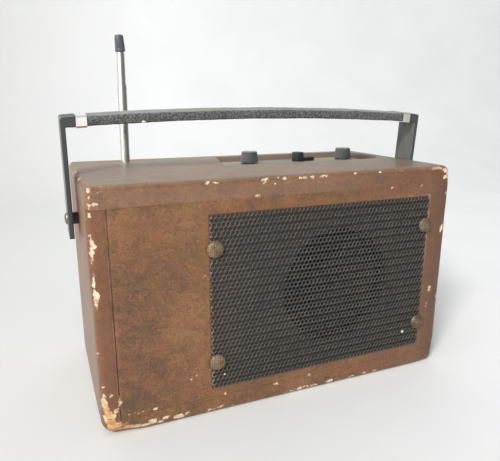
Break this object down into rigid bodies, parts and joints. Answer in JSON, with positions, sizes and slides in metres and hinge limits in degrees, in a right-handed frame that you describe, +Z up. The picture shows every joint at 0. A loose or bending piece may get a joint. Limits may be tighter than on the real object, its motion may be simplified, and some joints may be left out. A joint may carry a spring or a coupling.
{
  "type": "tabletop radio",
  "caption": "Portable tabletop radio: painted wooden cabinet, perforated speaker grille, folding carry handle, telescopic antenna, sunken top controls.",
  "frame": {"origin": "middle of the cabinet's flat underside, on the surface that the radio stands on", "axes": "+X to the right as one faces the grille, along the cabinet's length; +Y to the back; +Z up"},
  "size_m": [0.3556, 0.1771, 0.3224],
  "materials": {
    "cabinet_paint": "worn brown paint over wooden boards",
    "bare_wood": "unfinished pine",
    "hardboard": "dark pressed hardboard",
    "grille_metal": "dark perforated sheet with dusty webs",
    "aged_brass": "dimpled, tarnished brass",
    "steel": "zinc plated",
    "aluminium": "drawn aluminium",
    "chrome": "polished chrome",
    "brass": "worn brass",
    "cone_paper": "black pulp",
    "ferrite": "dull dark gray",
    "black_plastic": "satin, dark gray green",
    "leatherette": "pebble grained",
    "panel_paint": "gray green, satin",
    "laminate": "paper laminate",
    "copper": "enamelled copper wire",
    "battery_jacket": "plain printed jacket"
  },
  "bodies": {
    "cabinet": {"top_board": "cabinet_paint", "bottom_board": "cabinet_paint", "left_side_board": "cabinet_paint", "right_side_board": "cabinet_paint", "front_baffle": "cabinet_paint", "back_panel": "hardboard", "rear_cleat_left": "bare_wood", "rear_cleat_right": "bare_wood", "back_screw_1": "steel", "back_screw_2": "steel", "back_screw_3": "steel", "back_screw_4": "steel", "speaker_grille": "grille_metal", "grille_stud_1": "aged_brass", "grille_stud_2": "aged_brass", "grille_stud_3": "aged_brass", "grille_stud_4": "aged_brass", "speaker_basket": "steel", "speaker_cone": "cone_paper", "speaker_dust_cap": "cone_paper", "speaker_magnet": "ferrite", "control_panel": "panel_paint", "volume_control": "steel", "tuning_capacitor": "aluminium", "band_switch": "steel", "circuit_board": "laminate", "if_can_1": "aluminium", "if_can_2": "aluminium", "output_transformer": "ferrite", "ferrite_rod": "ferrite", "ferrite_coil": "copper", "ferrite_bracket": "black_plastic", "battery_tray": "black_plastic", "battery_1": "battery_jacket", "battery_2": "battery_jacket", "pivot_screw_left": "brass", "pivot_screw_right": "brass", "pivot_spacer_left": "black_plastic", "pivot_spacer_right": "black_plastic", "pivot_nut_left": "steel", "pivot_nut_right": "steel", "antenna_bush": "chrome"},
    "handle": {"handle_arm_left": "black_plastic", "handle_arm_right": "black_plastic", "handle_strap": "steel", "handle_grip": "leatherette", "handle_collar_left": "chrome", "handle_collar_right": "chrome"},
    "volume": {"volume_knob": "black_plastic", "volume_shaft": "steel"},
    "tuning": {"tuning_knob": "black_plastic", "tuning_shaft": "steel"},
    "band": {"band_lever": "black_plastic", "band_shaft": "steel"},
    "antenna_base": {"antenna_base_tube": "chrome"},
    "antenna_second": {"antenna_tube_2": "chrome"},
    "antenna_third": {"antenna_tube_3": "chrome"},
    "antenna_fourth": {"antenna_tube_4": "chrome"},
    "antenna_tip": {"antenna_tip_rod": "chrome", "antenna_tip_cap": "black_plastic"}
  },
  "joints": [
    {"name": "handle_swing", "type": "hinge", "parent": "cabinet", "child": "handle", "pos_m": [0, -0.0047, 0.1645], "axis": [1, 0, 0], "range_deg": [-43, 45]},
    {"name": "volume_turn", "type": "hinge", "parent": "cabinet", "child": "volume", "pos_m": [0.0139, 0.047, 0.1988], "axis": [0, 0, 1], "range_deg": [-150, 150]},
    {"name": "tuning_turn", "type": "hinge", "parent": "cabinet", "child": "tuning", "pos_m": [0.1304, 0.047, 0.1988], "axis": [0, 0, 1], "range_deg": [-90, 90]},
    {"name": "band_turn", "type": "hinge", "parent": "cabinet", "child": "band", "pos_m": [0.0722, 0.047, 0.1979], "axis": [0, 0, 1], "range_deg": [-40, 40]},
    {"name": "antenna_base_slide", "type": "slide", "parent": "cabinet", "child": "antenna_base", "axis": [0.0122, 0, 0.9999], "range_m": [-0.071, 0.072]},
    {"name": "antenna_second_slide", "type": "slide", "parent": "antenna_base", "child": "antenna_second", "axis": [0.0122, 0, 0.9999], "range_m": [-0.028, 0.118]},
    {"name": "antenna_third_slide", "type": "slide", "parent": "antenna_second", "child": "antenna_third", "axis": [0.0122, 0, 0.9999], "range_m": [0, 0.118]},
    {"name": "antenna_fourth_slide", "type": "slide", "parent": "antenna_third", "child": "antenna_fourth", "axis": [0.0122, 0, 0.9999], "range_m": [0, 0.118]},
    {"name": "antenna_tip_slide", "type": "slide", "parent": "antenna_fourth", "child": "antenna_tip", "axis": [0.0122, 0, 0.9999], "range_m": [0, 0.118]}
  ]
}
